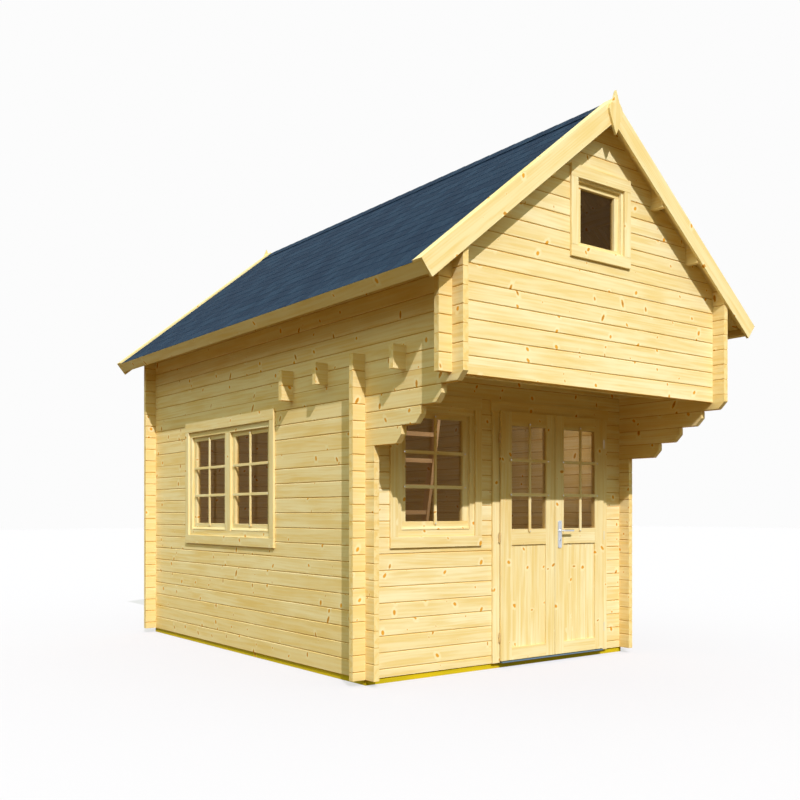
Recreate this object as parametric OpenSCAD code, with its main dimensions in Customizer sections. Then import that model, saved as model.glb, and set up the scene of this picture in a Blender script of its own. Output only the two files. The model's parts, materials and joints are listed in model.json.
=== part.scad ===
// Log cabin with a sleeping loft that juts out over the entrance on corbelled side walls.
// Notched wall logs, double glazed entrance doors, three fixed window units, a steep gable roof.
// Rest position: doors shut, lever level. Millimetres, +Z up, entrance towards -Y.

/* [Wall logs] */
// Height of one log course
log_h = 114; // [108:1:120]
// Thickness of a wall log
log_t = 44; // [40:1:48]
// Length of log that runs on past a crossing
log_end = 103; // [90:1:120]
// Depth of the bevel along each log joint
log_bevel = 6; // [3:0.5:8]

/* [Cabin] */
// Width over the outer faces of the side walls
cabin_w = 2680; // [2620:10:2900]
// Depth over the outer faces of the front and back walls
cabin_d = 3682; // [3500:10:4200]
// How far the loft wall stands in front of the front wall
loft_out = 917; // [860:1:980]
// Number of log courses from the foot of the loft wall up to the eave
loft_courses = 7.5; // [7.5:1:9.5]
// Difference in length from one corbel log to the next
corbel_step = 204; // [180:1:210]
// Bevel on the underside of a corbel log's end
corbel_cut = 58; // [45:1:75]

/* [Base and floor] */
// Height of the bearer frame under the walls
base_h = 42; // [36:1:60]
// Width of a base bearer
base_w = 72; // [60:1:100]
// How far the bearers stand in from the wall face
base_inset = 12; // [0:1:16]
// Thickness of the floor boards
floor_t = 20; // [16:1:28]
// Number of bearers between the end bearers
bearers = 4; // [2:1:6]

/* [Loft] */
// Distance from the front wall to the loft joist behind it
joist_y = 474; // [420:2:520]
// Distance from the front wall to the loft's rear beam
beam_y = 963; // [900:1:1040]
// Height of a single loft joist
joist_h = 155; // [130:1:165]
// Thickness of the loft floor boards
loft_floor_t = 18; // [16:1:24]
// Width of the ladder over its stiles
ladder_w = 400; // [340:5:460]
// Place of the ladder's middle across the room
ladder_x = -20; // [-200:5:200]
// Lean of the ladder from upright
ladder_lean = 10.6; // [8:0.2:14]
// Thickness of a ladder stile
stile_t = 30; // [24:1:36]
// Depth of a ladder stile
stile_d = 70; // [60:1:90]
// Height from one rung to the next
rung_pitch = 225; // [210:1:240]
// Height of a rung
rung_h = 36; // [28:1:42]
// How far a rung lies in from the stile's edges
rung_in = 8; // [5:1:12]

/* [Roof] */
// Roof pitch in degrees
pitch = 39.1; // [38:0.1:41]
// Eave overhang down the slope, from the wall face to the fascia face
eave_len = 398; // [370:2:480]
// Thickness of the roof boards
board_t = 18; // [16:1:22]
// Thickness of the shingles
shingle_t = 5; // [4:0.5:8]
// Free space between the layers of the roof
layer_gap = 0.1; // [0.05:0.05:0.3]
// Width of a barge board
barge_w = 129; // [120:1:145]
// Thickness of a barge board
barge_t = 20; // [16:1:24]
// Width of the strip that caps the roof edge
cap_w = 70; // [50:1:90]
// Thickness of that strip
cap_t = 13; // [10:1:18]
// Height of the eave fascia, square to the slope
fascia_h = 90; // [80:1:104]
// Thickness of the eave fascia
fascia_t = 20; // [16:1:24]
// Width of a purlin
purlin_w = 44; // [40:1:60]
// Depth of a purlin below the roof boards
purlin_d = 125; // [100:1:140]
// Distance of the upper purlins from the ridge line
purlin_a = 565; // [520:5:600]
// Distance of the lower purlins from the ridge line
purlin_b = 975; // [930:5:1010]
// Width of the ridge shingles down each slope
ridge_w = 125; // [100:1:160]
// Thickness of a finial board
finial_t = 18; // [14:1:22]
// Half width of a finial
finial_r = 68; // [60:1:80]
// Height of a finial's tip above the barge boards' peak
finial_up = 47; // [36:1:56]
// Reach of a finial below that peak
finial_down = 257; // [240:1:280]

/* [Entrance doors] */
// Width of log wall between the door trim and the right side wall
door_side = 179.5; // [120:0.5:240]
// Width of one door leaf over its lip
leaf_w = 580; // [540:2:600]
// Height of a door leaf
leaf_h = 1903; // [1850:1:1910]
// Thickness of a door leaf
leaf_t = 40; // [36:1:48]
// Thickness of the lip that lies over the frame
lip_t = 19; // [15:1:22]
// Overlap of the lip on the frame
lip_over = 12; // [10:1:15]
// Free gap around a leaf
door_gap = 5; // [5:0.5:7]
// Width of a leaf's hinge stile
hinge_stile = 110; // [95:1:120]
// Width of a leaf's meeting stile
lock_stile = 99; // [88:1:108]
// Height of a leaf's top rail
top_rail = 108; // [95:1:125]
// Height of a leaf's bottom rail
bottom_rail = 95; // [85:1:130]
// Height of the middle rail's lower edge above the leaf's foot
mid_rail_z = 880; // [840:5:900]
// Height of the middle rail
mid_rail = 122; // [110:1:140]
// Thickness of the boarded lower panel
panel_t = 16; // [12:1:20]
// Depth of a leaf's pane behind its face
leaf_pane_in = 10; // [8:1:20]
// Least height of the frame's head over the leaves
head_min = 60; // [50:1:70]
// Width of a frame jamb
jamb_w = 45; // [38:1:55]
// Depth of the door frame from the wall face
frame_d = 60; // [52:1:75]
// Inward step of the frame's stop
stop_w = 18; // [14:1:22]
// Depth of that stop behind the wall face
stop_in = 10; // [6:1:12]
// Height of the metal threshold
sill_h = 10; // [6:1:10]

/* [Hinges and handle] */
// Outside radius of a hinge barrel
barrel_r = 5.5; // [5:0.5:7]
// Radius of a hinge pin
pin_r = 3; // [2.5:0.5:3.5]
// Free space of the pin in its barrel
pin_gap = 0.08; // [0.05:0.01:0.1]
// Thickness of a hinge's web
web_t = 3; // [2:0.5:4]
// Length of each half of a hinge barrel
barrel_l = 36; // [30:1:44]
// Height of the lowest hinge above the leaf's foot
hinge_low = 180; // [150:5:220]
// Depth of the highest hinge below the leaf's top
hinge_top = 207; // [180:1:240]
// Height of the lever's spindle above the leaf's foot
lever_z = 985; // [950:1:1000]
// Stand-off of a lever from its plate
lever_out = 42; // [36:1:50]
// Length of a door lever
lever_l = 108; // [95:1:120]
// Radius of the lever bar
lever_r = 8; // [7:0.5:9]
// Radius of the lever's spindle
spindle_r = 6; // [5:0.5:7]
// Height of the handle plate
plate_h = 218; // [200:1:230]
// Width of the handle plate
plate_w = 42; // [38:1:46]
// Height of the handle plate above the spindle
plate_up = 80; // [70:1:95]
// Thickness of the handle plate
plate_t = 7; // [5:1:9]

/* [Windows] */
// Thickness of the trim boards
trim_t = 18; // [15:1:22]
// Width of the trim boards beside a window
trim_w = 66; // [60:1:76]
// Height of the trim board over a window
trim_head = 88; // [72:1:94]
// Height of the trim board under a window
trim_foot = 78; // [66:1:86]
// Part of the trim's width that lies on the logs
trim_lap = 44; // [36:1:50]
// Visible width of the door trim beside the leaf
door_trim = 64; // [56:1:72]
// Visible height of the head trim over the leaves
head_trim = 78; // [60:1:84]
// How far the head trim runs out past the side trims
head_ear = 15; // [0:1:20]
// Visible width of a window frame's sides
frame_side = 42; // [34:1:48]
// Visible height of a window frame's head and sill
frame_rail = 46; // [38:1:54]
// Depth of a window frame from the wall face
win_frame_d = 78; // [72:1:90]
// Inward step of a window frame's stop
win_stop = 10; // [6:1:14]
// Width of a sash stile
sash_stile = 52; // [44:1:58]
// Height of a sash's top rail
sash_head = 38; // [32:1:46]
// Height of a sash's bottom rail
sash_foot = 63; // [54:1:70]
// Visible width of the loft window's frame sides
loft_side = 22; // [16:1:28]
// Visible height of the loft window's frame head and sill
loft_rail = 14; // [10:1:18]
// Width of the loft window's sash stile
loft_stile = 43; // [36:1:48]
// Height of the loft sash's top rail
loft_head = 36; // [30:1:42]
// Height of the loft sash's bottom rail
loft_foot = 22; // [20:1:30]
// Thickness of a window sash
sash_t = 36; // [30:1:38]
// Depth of the sash face behind the wall face
sash_in = 23; // [18:1:26]
// Depth of a pane behind the sash face
pane_in = 20; // [14:1:22]
// Thickness of a window pane
pane_t = 4; // [4:1:6]
// Depth to which a pane sits in its groove
pane_set = 8; // [6:1:10]
// Width of log wall between the left side wall and the front window's trim
front_win_side = 160.5; // [120:0.5:220]
// Width of log wall between the front window's trim and the door trim
front_win_gap = 107.5; // [80:0.5:160]
// Height of the front window over its trim
front_win_h = 1102; // [1060:1:1120]
// Height of the front window's upper trim edge above the foot of the loft wall
front_win_rise = 1; // [-20:1:10]
// Width of the side window over its trim
side_win_w = 1654; // [1560:2:1700]
// Height of the side window over its trim
side_win_h = 1102; // [1040:1:1120]
// Place of the side window's middle behind the front wall
side_win_y = 2071; // [1980:1:2150]
// Height of the side window's lower trim edge above the base
side_win_z = 862; // [830:1:900]
// Width of the loft window over its trim
loft_win_w = 610; // [560:2:640]
// Height of the loft window over its trim
loft_win_h = 625; // [580:1:650]
// Height of the loft window's lower trim edge above the foot of the loft wall
loft_win_z = 874; // [840:1:900]
// Width of the post between the side window's sashes
mullion_w = 96; // [80:1:110]

/* [Hidden] */
$fn = 32;
eps = 1;
hw = cabin_w / 2;
hx = hw + log_end;
y_mid = (cabin_d - loft_out) / 2;
y_front = -loft_out - log_end;
y_back = cabin_d + log_end;
run = y_back - y_front;
leaf_z = base_h + sill_h + door_gap;
leaf_top = leaf_z + leaf_h;
head_z = leaf_top - lip_over;
corbels = 4;
tie_courses = 2;
loft_k = ceil((head_z + head_min - base_h) / log_h - 0.5) + 0.5;
tie_k = loft_k + tie_courses;
corbel_k = loft_k + 0.5 - corbels;
corbel_top = corbel_k + corbels;
eave_k = loft_k + loft_courses;
tp = tan(pitch);
cp = cos(pitch);
sp = sin(pitch);
ridge_z = zc(eave_k) + (hw - log_t / 2) * tp;
board_v = layer_gap + board_t;
roof_v = board_v + layer_gap + shingle_t;
edge_v = roof_v + layer_gap + cap_t;
slope_len = hw / cp + eave_len;
slope_end = slope_len - fascia_t;
joist_ys = [-loft_out / 2, joist_y];
loft_end = beam_y + log_t;
loft_z = zc(tie_k);
purlin_xs = [0, -purlin_a, purlin_a, -purlin_b, purlin_b];
doors_w = 2 * leaf_w + door_gap;
door_x = hw - log_t - door_side - door_trim - doors_w / 2;
door_clear = doors_w - 2 * lip_over;
door_rough = door_clear + 2 * jamb_w;
leaf_y = -trim_t - door_gap - lip_t;
lip_in = lip_over + door_gap;
axis_gap = barrel_r + 2;
axis_y = leaf_y + lip_t / 2;
hinge_step = (leaf_h - hinge_low - hinge_top) / 2;
hinge_zs = [for (i = [0:2]) leaf_z + hinge_low + i * hinge_step];
plate_x = door_x + door_gap / 2 + lock_stile / 2;
pane_y = sash_in + pane_in;
sash_back = sash_in + sash_t;
lean = tan(ladder_lean);
ladder_z0 = base_h + floor_t;
ladder_z1 = loft_z + loft_floor_t;
seat_z = zc(tie_k - 1);
stile_run = stile_d / cos(ladder_lean);
front_win_l = -hw + log_t + front_win_side;
front_win_w = door_x - doors_w / 2 - door_trim - front_win_gap - front_win_l;
front_win_x = front_win_l + front_win_w / 2;
// window table: width, height, frame side, frame head and sill, sash stile, top rail, bottom rail
front_win = [front_win_w, front_win_h, frame_side, frame_rail, sash_stile, sash_head, sash_foot];
side_win = [side_win_w, side_win_h, frame_side, frame_rail, sash_stile, sash_head, sash_foot];
loft_win = [loft_win_w, loft_win_h, loft_side, loft_rail, loft_stile, loft_head, loft_foot];

// height of a course line
function zc(k) = base_h + k * log_h;
// height of the underside of the roof boards
function roof_z(x) = ridge_z - abs(x) * tp;
// a point of the right slope: u down the slope, v square to it
function slope_pt(u, v) = [u * cp + v * sp, ridge_z - u * sp + v * cp];

// shared shapes

// section of stacked logs with a bevelled joint at each inner level
function side_pts(zs, s) = [for (i = [0:len(zs) - 2])
    each concat([[s, zs[i] + (i == 0 ? 0 : log_bevel)]],
                [[s, zs[i + 1] - (i == len(zs) - 2 ? 0 : log_bevel)]],
                i == len(zs) - 2 ? [] : [[s - sign(s) * log_bevel, zs[i + 1]]])];
function flip(list) = [for (i = [len(list) - 1:-1:0]) list[i]];
function stack_pts(zs) = concat(side_pts(zs, log_t / 2), flip(side_pts(zs, -log_t / 2)));
function levels(k0, k1) =
    concat([zc(k0)], [for (k = [ceil(k0 + 0.01):ceil(k1 - 0.01) - 1]) zc(k)], [zc(k1)]);
function half_levels(k0, k1) =
    concat([zc(k0)], [for (k = [ceil(k0 + 0.51) - 0.5:ceil(k1 - 0.51) - 0.5]) if (k > k0 && k < k1) zc(k)],
           [zc(k1)]);

// logs along Y, centred on x, between two course lines
module logs_y(x, y0, y1, k0, k1)
    translate([x, y1, 0]) rotate([90, 0, 0]) linear_extrude(y1 - y0)
        polygon(stack_pts(levels(k0, k1)));

// logs along X with the outer face at y, half a course out of step
module logs_x(y, x0, x1, k0, k1)
    translate([x0, y + log_t / 2, 0]) rotate([90, 0, 90]) linear_extrude(x1 - x0)
        polygon(stack_pts(half_levels(k0, k1)));

// notches that leave a side wall's necks at a crossing log
module notch_side(x, y, k0, k1)
    for (k = [ceil(k0):floor(k1 - 0.25)])
        translate([x - log_t / 2 - eps, y, zc(k - 0.25)]) cube([log_t + 2 * eps, log_t, log_h / 2]);

// notches that leave a cross log's necks at a side wall
module notch_cross(y, k0, k1)
    for (s = [-1, 1], k = [floor(k0):ceil(k1) - 1])
        translate([s * (hw - log_t / 2) - log_t / 2, y - eps, zc(k + 0.25)])
            cube([log_t, log_t + 2 * eps, log_h * (k == eave_k - 1 ? 2 : 0.5)]);

// space under the roof boards
module under_roof()
    translate([0, y_back + eps, 0]) rotate([90, 0, 0]) linear_extrude(run + 2 * eps)
        polygon([[-hx - log_end, 0], [hx + log_end, 0], [hx + log_end, roof_z(hx + log_end)],
                 [0, ridge_z], [-hx - log_end, roof_z(hx + log_end)]]);

module layer_right(u1, v0, v1, y0, y1)
    translate([0, y1, 0]) rotate([90, 0, 0]) linear_extrude(y1 - y0)
        polygon([slope_pt(-v0 * tp, v0), slope_pt(u1, v0), slope_pt(u1, v1), slope_pt(-v1 * tp, v1)]);

module both_ends() {
    children();
    translate([0, 2 * y_mid, 0]) mirror([0, 1, 0]) children();
}

module purlin_bars(grow)
    for (x = purlin_xs)
        translate([0, y_back + grow, 0]) rotate([90, 0, 0]) linear_extrude(run + 2 * grow)
            polygon(concat([[x - purlin_w / 2, roof_z(x) - purlin_d],
                            [x + purlin_w / 2, roof_z(x) - purlin_d],
                            [x + purlin_w / 2, roof_z(x + purlin_w / 2) + grow]],
                           x == 0 ? [[0, ridge_z + grow]] : [],
                           [[x - purlin_w / 2, roof_z(x - purlin_w / 2) + grow]]));

// four boards round an opening in the XZ plane, from depth y0 to y1
module ring(w, h, side, foot, head, y0, y1)
    difference() {
        translate([-w / 2, y0, 0]) cube([w, y1 - y0, h]);
        translate([-w / 2 + side, y0 - eps, foot]) cube([w - 2 * side, y1 - y0 + 2 * eps, h - foot - head]);
    }

module at_front() translate([front_win_x, 0, zc(loft_k) + front_win_rise - front_win_h]) children();
module at_side() translate([-hw, side_win_y, base_h + side_win_z]) rotate([0, 0, -90]) children();
module at_loft() translate([0, -loft_out, zc(loft_k) + loft_win_z]) children();

module win_hole(t)
    translate([-t[0] / 2 + trim_lap, -log_t, trim_lap])
        cube([t[0] - 2 * trim_lap, 3 * log_t, t[1] - 2 * trim_lap]);

module win_trim(t) ring(t[0], t[1], trim_w, trim_foot, trim_head, -trim_t, 0);

module win_frame(t, post) {
    side = trim_w - trim_lap + t[2];
    foot = trim_foot - trim_lap + t[3];
    head = trim_head - trim_lap + t[3];
    fw = t[0] - 2 * trim_lap;
    fh = t[1] - 2 * trim_lap;
    translate([0, 0, trim_lap]) {
        ring(fw, fh, side, foot, head, 0, sash_back);
        ring(fw, fh, side + win_stop, foot + win_stop, head + win_stop, sash_back, win_frame_d);
        if (post > 0) translate([-post / 2, 0, foot]) cube([post, win_frame_d, fh - foot - head]);
    }
}

function sash_w(t, post) = (t[0] - 2 * trim_w - 2 * t[2] - post) / (post > 0 ? 2 : 1);
function sash_h(t) = t[1] - trim_foot - trim_head - 2 * t[3];

module in_sash(t, post)
    for (s = post > 0 ? [-1, 1] : [0])
        translate([s * (sash_w(t, post) + post) / 2, 0, trim_foot + t[3]]) children();

module pane(t, post)
    translate([-sash_w(t, post) / 2 + t[4] - pane_set, pane_y, t[6] - pane_set])
        cube([sash_w(t, post) - 2 * t[4] + 2 * pane_set, pane_t, sash_h(t) - t[5] - t[6] + 2 * pane_set]);

module win_sash(t, post) in_sash(t, post)
    difference() {
        ring(sash_w(t, post), sash_h(t), t[4], t[6], t[5], sash_in, sash_back);
        pane(t, post);
    }

// base and floor

module side_bearers() color("#c9b84a")
    for (s = [-1, 1]) translate([s * (hw - base_inset - base_w / 2) - base_w / 2, base_inset, 0])
        cube([base_w, cabin_d - 2 * base_inset, base_h]);

module end_bearers() color("#c9b84a")
    for (y = [base_inset, cabin_d - base_inset - base_w])
        translate([-hw + base_inset + base_w, y, 0])
            cube([cabin_w - 2 * base_inset - 2 * base_w, base_w, base_h]);

module floor_bearers() color("#c9b84a")
    for (i = [1:bearers])
        translate([-hw + base_inset + base_w, i * cabin_d / (bearers + 1) - base_w / 2, 0])
            cube([cabin_w - 2 * base_inset - 2 * base_w, base_w, base_h]);

module ground_floor() color("#d8c08a")
    difference() {
        translate([-hw + log_t, log_t, base_h]) cube([cabin_w - 2 * log_t, cabin_d - 2 * log_t, floor_t]);
        translate([door_x - door_rough / 2, 0, base_h - eps]) cube([door_rough, frame_d, floor_t + 2 * eps]);
    }

// log walls

module front_logs(x0, x1, k0, k1)
    difference() {
        logs_x(0, x0, x1, k0, k1);
        notch_cross(0, k0, k1);
    }

module front_wall_left() color("#ecd9a0")
    difference() {
        front_logs(-hx, door_x - door_rough / 2, 0, loft_k);
        at_front() win_hole(front_win);
    }

module front_wall_right() color("#ecd9a0") front_logs(door_x + door_rough / 2, hx, 0, loft_k);

module front_wall_over() color("#ecd9a0") front_logs(-hx, hx, loft_k, tie_k);

module gable_logs(y, k0)
    difference() {
        intersection() {
            logs_x(y, -hx, hx, k0, eave_k + 11);
            under_roof();
        }
        notch_cross(y, k0, eave_k);
        purlin_bars(eps);
    }

module back_wall() color("#ecd9a0") gable_logs(cabin_d - log_t, 0);

module loft_wall() color("#ecd9a0")
    difference() {
        gable_logs(-loft_out, loft_k);
        at_loft() win_hole(loft_win);
    }

module side_cuts(x) {
    notch_side(x, 0, 0, tie_k);
    notch_side(x, cabin_d - log_t, 0, eave_k);
    notch_side(x, -loft_out, loft_k, eave_k);
    for (y = joist_ys) notch_side(x, y, tie_k - 1, tie_k);
    notch_side(x, beam_y, loft_k, tie_k);
}

module side_lower(s)
    difference() {
        logs_y(s * (hw - log_t / 2), -log_end, y_back, 0, corbel_k);
        side_cuts(s * (hw - log_t / 2));
    }

function corbel_pts() = [for (i = [0:corbels - 1], p = [0, 1, 2])
    let (y = y_front + i * corbel_step, z = zc(corbel_top - i))
        p == 0 ? [y, z] : p == 1 ? [y, z - log_h + corbel_cut] : [y + corbel_cut, z - log_h]];

module side_corbels(s)
    difference() {
        intersection() {
            logs_y(s * (hw - log_t / 2), y_front, y_back, corbel_k, corbel_top);
            translate([s * (hw - log_t / 2) - log_t, 0, 0]) rotate([90, 0, 90]) linear_extrude(2 * log_t)
                polygon(concat(corbel_pts(), [[y_back, zc(corbel_k)], [y_back, zc(corbel_top)]]));
        }
        side_cuts(s * (hw - log_t / 2));
    }

module side_upper(s)
    difference() {
        intersection() {
            logs_y(s * (hw - log_t / 2), y_front, y_back, corbel_top, eave_k + 1);
            under_roof();
        }
        side_cuts(s * (hw - log_t / 2));
    }

module with_side_hole()
    difference() {
        children();
        at_side() win_hole(side_win);
    }

module left_wall() color("#e0cf94") with_side_hole() side_lower(-1);
module left_corbels() color("#e0cf94") with_side_hole() side_corbels(-1);
module left_wall_upper() color("#e0cf94") with_side_hole() side_upper(-1);
module right_wall() color("#e0cf94") side_lower(1);
module right_corbels() color("#e0cf94") side_corbels(1);
module right_wall_upper() color("#e0cf94") side_upper(1);

// loft

// single joists with a neck left where they pass through the side walls
module loft_joists() color("#e2cd92")
    for (y = joist_ys)
        difference() {
            translate([-hx, y, loft_z - joist_h]) cube([2 * hx, log_t, joist_h]);
            for (s = [-1, 1], z = [zc(tie_k - 0.75) - joist_h, zc(tie_k - 0.25)])
                translate([s * (hw - log_t / 2) - log_t / 2, y - eps, z])
                    cube([log_t, log_t + 2 * eps, joist_h]);
        }

module loft_beam() color("#e2cd92")
    difference() {
        logs_x(beam_y, -hx, hx, loft_k, tie_k);
        notch_cross(beam_y, loft_k, tie_k);
    }

module loft_floor() color("#d8c08a")
    translate([-hw + log_t, -loft_out + log_t, loft_z])
        cube([cabin_w - 2 * log_t, loft_out - log_t + loft_end, loft_floor_t]);

function ladder_y(z) = loft_end + (seat_z - z) * lean;

module ladder_stiles() color("#d9a873")
    for (s = [-1, 1])
        translate([ladder_x + s * (ladder_w - stile_t) / 2 - stile_t / 2, 0, 0])
            rotate([90, 0, 90]) linear_extrude(stile_t)
                polygon([[ladder_y(ladder_z0), ladder_z0], [ladder_y(ladder_z0) + stile_run, ladder_z0],
                         [ladder_y(ladder_z1) + stile_run, ladder_z1],
                         [loft_end, ladder_z1], [loft_end, seat_z]]);

module ladder_rungs() color("#d9a873")
    for (i = [1:floor((ladder_z1 - ladder_z0 - rung_h) / rung_pitch)])
        let (z = ladder_z0 + i * rung_pitch)
            translate([ladder_x - ladder_w / 2 + stile_t, ladder_y(z - rung_h / 2) + rung_in,
                       z - rung_h / 2])
                cube([ladder_w - 2 * stile_t, stile_run - 2 * rung_in - rung_h * lean, rung_h]);

// roof

module purlins() color("#e0cc90") purlin_bars(0);

module right_roof_boards() color("#d9c083")
    layer_right(slope_end - layer_gap, layer_gap, board_v, y_front, y_back);
module left_roof_boards() mirror([1, 0, 0]) right_roof_boards();

module right_shingles() color("#35495f")
    layer_right(slope_end - layer_gap, board_v + layer_gap, roof_v, y_front, y_back);
module left_shingles() mirror([1, 0, 0]) right_shingles();

module ridge_shingles() color("#2f4358")
    translate([0, y_back - cap_w, 0]) rotate([90, 0, 0]) linear_extrude(run - 2 * cap_w)
        let (v0 = roof_v + layer_gap, v1 = v0 + shingle_t, a = slope_pt(ridge_w, v0),
             b = slope_pt(ridge_w, v1), c = slope_pt(-v0 * tp, v0), d = slope_pt(-v1 * tp, v1))
            polygon([c, a, b, d, [-b[0], b[1]], [-a[0], a[1]]]);

module right_barges() color("#ecd9a0")
    both_ends() layer_right(slope_len, edge_v - barge_w, edge_v, y_front - barge_t, y_front);
module left_barges() mirror([1, 0, 0]) right_barges();

module right_edge_caps() color("#e6d296")
    both_ends() layer_right(slope_len, roof_v + layer_gap, edge_v, y_front, y_front + cap_w);
module left_edge_caps() mirror([1, 0, 0]) right_edge_caps();

// spike, shoulder and taper of one flank, from the tip down
function finial_flank(s) = [
    [s * finial_r * 0.17, finial_up * 0.4], [s * finial_r * 0.31, -finial_down * 0.03],
    [s * finial_r * 0.50, -finial_down * 0.14], [s * finial_r * 0.88, -finial_down * 0.255],
    [s * finial_r, -finial_down * 0.355], [s * finial_r * 0.91, -finial_down * 0.455],
    [s * finial_r * 0.59, -finial_down * 0.66], [s * finial_r * 0.21, -finial_down * 0.887]];

module finials() color("#ecd9a0")
    both_ends() translate([0, y_front - barge_t, ridge_z + edge_v / cp]) rotate([90, 0, 0])
        linear_extrude(finial_t)
            polygon(concat([[0, finial_up]], finial_flank(-1), [[0, -finial_down]], flip(finial_flank(1))));

module fascias() color("#e6d296")
    for (m = [0, 1]) mirror([m, 0, 0]) translate([0, y_back, 0]) rotate([90, 0, 0]) linear_extrude(run)
        polygon([slope_pt(slope_end, roof_v - fascia_h), slope_pt(slope_len, roof_v - fascia_h),
                 slope_pt(slope_len, roof_v), slope_pt(slope_end, roof_v)]);

// entrance doors

// an upright piece on each side of the doorway, from x0 to x1 off its middle
module door_sides(x0, x1, z0, z1, y0, y1)
    for (m = [-1, 1]) translate([door_x + (m < 0 ? -x1 : x0), y0, z0]) cube([x1 - x0, y1 - y0, z1 - z0]);

module door_jambs() color("#e9d69d") {
    door_sides(door_clear / 2, door_rough / 2, base_h, head_z, 0, frame_d);
    door_sides(door_clear / 2 - stop_w, door_clear / 2, base_h + sill_h, head_z, stop_in, frame_d);
}

module door_head() color("#e9d69d") {
    translate([door_x - door_rough / 2, 0, head_z]) cube([door_rough, frame_d, zc(loft_k) - head_z]);
    translate([door_x - door_clear / 2 + stop_w, stop_in, head_z - stop_w])
        cube([door_clear - 2 * stop_w, frame_d - stop_in, stop_w]);
}

module door_side_trims() color("#ecd9a0")
    door_sides(door_clear / 2, doors_w / 2 + door_trim, base_h, head_z, -trim_t, 0);

module door_head_trim() color("#ecd9a0")
    translate([door_x - doors_w / 2 - door_trim - head_ear, -trim_t, head_z])
        cube([doors_w + 2 * door_trim + 2 * head_ear, trim_t, lip_over + head_trim]);

module threshold() color("#6f8797")
    translate([door_x - door_clear / 2, leaf_y, base_h]) cube([door_clear, frame_d - leaf_y, sill_h]);

function leaf_x(s) = door_x + s * door_gap / 2;

// one leaf drawn with its meeting edge at x = 0 and its hinge edge at x = leaf_w
module leaf_shape() {
    bx = leaf_w - lip_in;
    gx0 = lock_stile;
    gw = leaf_w - lock_stile - hinge_stile;
    gz = mid_rail_z + mid_rail;
    gh = leaf_h - top_rail - gz;
    ph = mid_rail_z - bottom_rail;
    difference() {
        union() {
            cube([leaf_w, lip_t, leaf_h]);
            translate([0, lip_t, 0]) cube([bx, leaf_t - lip_t, leaf_h - lip_in]);
        }
        translate([gx0, -eps, gz]) cube([gw, leaf_t + 2 * eps, gh]);
        translate([gx0 - pane_set, leaf_pane_in, gz - pane_set])
            cube([gw + 2 * pane_set, pane_t, gh + 2 * pane_set]);
        translate([gx0, -eps, bottom_rail]) cube([gw, (leaf_t - panel_t) / 2 + eps, ph]);
        translate([gx0, (leaf_t + panel_t) / 2, bottom_rail]) cube([gw, leaf_t, ph]);
    }
}

module leaf_pane()
    translate([lock_stile - pane_set, leaf_pane_in, mid_rail_z + mid_rail - pane_set])
        cube([leaf_w - lock_stile - hinge_stile + 2 * pane_set, pane_t,
              leaf_h - top_rail - mid_rail_z - mid_rail + 2 * pane_set]);

module leaf_place(s) translate([leaf_x(s), leaf_y, leaf_z]) mirror([s < 0 ? 1 : 0, 0, 0]) children();

// hinge axis of a leaf
module at_axis(s) translate([leaf_x(s) + s * (leaf_w + axis_gap), axis_y, 0]) children();

module leaf_hinge(s) at_axis(s)
    for (z = hinge_zs) translate([0, 0, z + 1])
        difference() {
            union() {
                cylinder(r = barrel_r, h = barrel_l);
                translate([s < 0 ? 0 : -axis_gap, -web_t / 2, 0]) cube([axis_gap, web_t, barrel_l]);
            }
            translate([0, 0, -eps]) cylinder(r = pin_r + pin_gap, h = barrel_l + 2 * eps);
        }

module left_leaf() color("#efdca6") leaf_place(-1) leaf_shape();
module left_leaf_panes() color("#8fa3ad", 0.5) leaf_place(-1) leaf_pane();
module left_leaf_hinges() color("#b8c2ca") leaf_hinge(-1);
module right_leaf_panes() color("#8fa3ad", 0.5) leaf_place(1) leaf_pane();
module right_leaf_hinges() color("#b8c2ca") leaf_hinge(1);

module right_leaf() color("#efdca6")
    difference() {
        leaf_place(1) leaf_shape();
        translate([plate_x, leaf_y - eps, leaf_z + lever_z]) rotate([-90, 0, 0])
            cylinder(r = spindle_r + pin_gap, h = leaf_t + 2 * eps);
    }

module frame_hinges() color("#b8c2ca")
    for (s = [-1, 1]) at_axis(s) for (z = hinge_zs) translate([0, 0, z]) {
        translate([0, 0, -barrel_l]) cylinder(r = barrel_r, h = barrel_l);
        translate([-web_t / 2, 0, -barrel_l]) cube([web_t, -trim_t - axis_y, barrel_l]);
        cylinder(r = pin_r, h = barrel_l);
    }

module handle_plates() color("#c3ccd4")
    for (y = [leaf_y - plate_t, leaf_y + leaf_t])
        difference() {
            translate([plate_x - plate_w / 2, y, leaf_z + lever_z + plate_up - plate_h])
                cube([plate_w, plate_t, plate_h]);
            translate([plate_x, y - eps, leaf_z + lever_z]) rotate([-90, 0, 0])
                cylinder(r = spindle_r + pin_gap, h = plate_t + 2 * eps);
        }

module lever() color("#c3ccd4") translate([plate_x, 0, leaf_z + lever_z]) {
    translate([0, leaf_y - plate_t - lever_out, 0]) rotate([-90, 0, 0])
        cylinder(r = spindle_r, h = leaf_t + 2 * plate_t + 2 * lever_out);
    for (y = [leaf_y - plate_t - lever_out, leaf_y + leaf_t + plate_t + lever_out])
        translate([0, y, 0]) {
            sphere(r = lever_r);
            rotate([0, 90, 0]) cylinder(r = lever_r, h = lever_l);
            translate([lever_l, 0, 0]) sphere(r = lever_r);
        }
}

// window units

module window_trims() color("#ecd9a0") {
    at_front() win_trim(front_win);
    at_side() win_trim(side_win);
    at_loft() win_trim(loft_win);
}

module window_frames() color("#e9d69d") {
    at_front() win_frame(front_win, 0);
    at_side() win_frame(side_win, mullion_w);
    at_loft() win_frame(loft_win, 0);
}

module window_sashes() color("#ecd9a0") {
    at_front() win_sash(front_win, 0);
    at_side() win_sash(side_win, mullion_w);
    at_loft() win_sash(loft_win, 0);
}

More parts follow.
